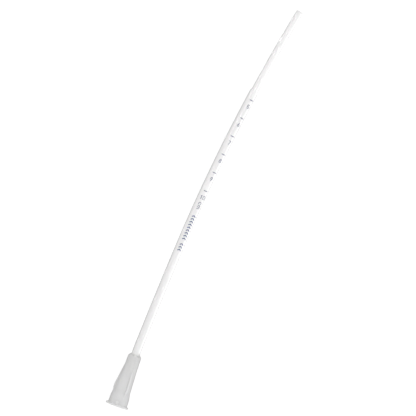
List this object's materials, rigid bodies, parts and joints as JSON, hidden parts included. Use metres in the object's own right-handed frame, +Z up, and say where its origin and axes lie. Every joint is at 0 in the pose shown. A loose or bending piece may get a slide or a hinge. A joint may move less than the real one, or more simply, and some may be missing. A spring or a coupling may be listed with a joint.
{
  "type": "graduated pipette",
  "caption": "Long thin flexible plastic pipette with a printed centimetre scale, a stiffening sleeve, a rounded open tip and a winged luer hub.",
  "frame": {"origin": "centre of the hub's mouth, on the hub's axis", "axes": "+X along the hub's axis from its mouth towards the tip; the tube bows towards -Y; +Z is up as the pipette lies, and the print faces up, turned about 27 degrees towards -Y at the first mark"},
  "size_m": [0.2136, 0.0255, 0.0116],
  "materials": {
    "hub_plastic": "satin moulded, slightly translucent",
    "tube_plastic": "clear to milky extruded, glossy",
    "sleeve_plastic": "milky extruded, satin",
    "adhesive": "clear, glossy",
    "printed_ink": "dark blue print"
  },
  "bodies": {
    "root": {"luer_hub": "hub_plastic", "inner_tube": "tube_plastic", "outer_sleeve": "sleeve_plastic", "hub_bond": "adhesive", "scale_bar_5": "printed_ink", "scale_bar_6": "printed_ink", "scale_bar_7": "printed_ink", "scale_bar_8": "printed_ink", "scale_bar_9": "printed_ink", "scale_bar_10": "printed_ink", "scale_number_5": "printed_ink", "scale_number_6": "printed_ink", "scale_number_7": "printed_ink", "scale_number_8": "printed_ink", "scale_number_9": "printed_ink", "scale_number_10": "printed_ink", "scale_unit": "printed_ink", "chevrons_long": "printed_ink", "chevrons_short": "printed_ink"}
  },
  "joints": []
}
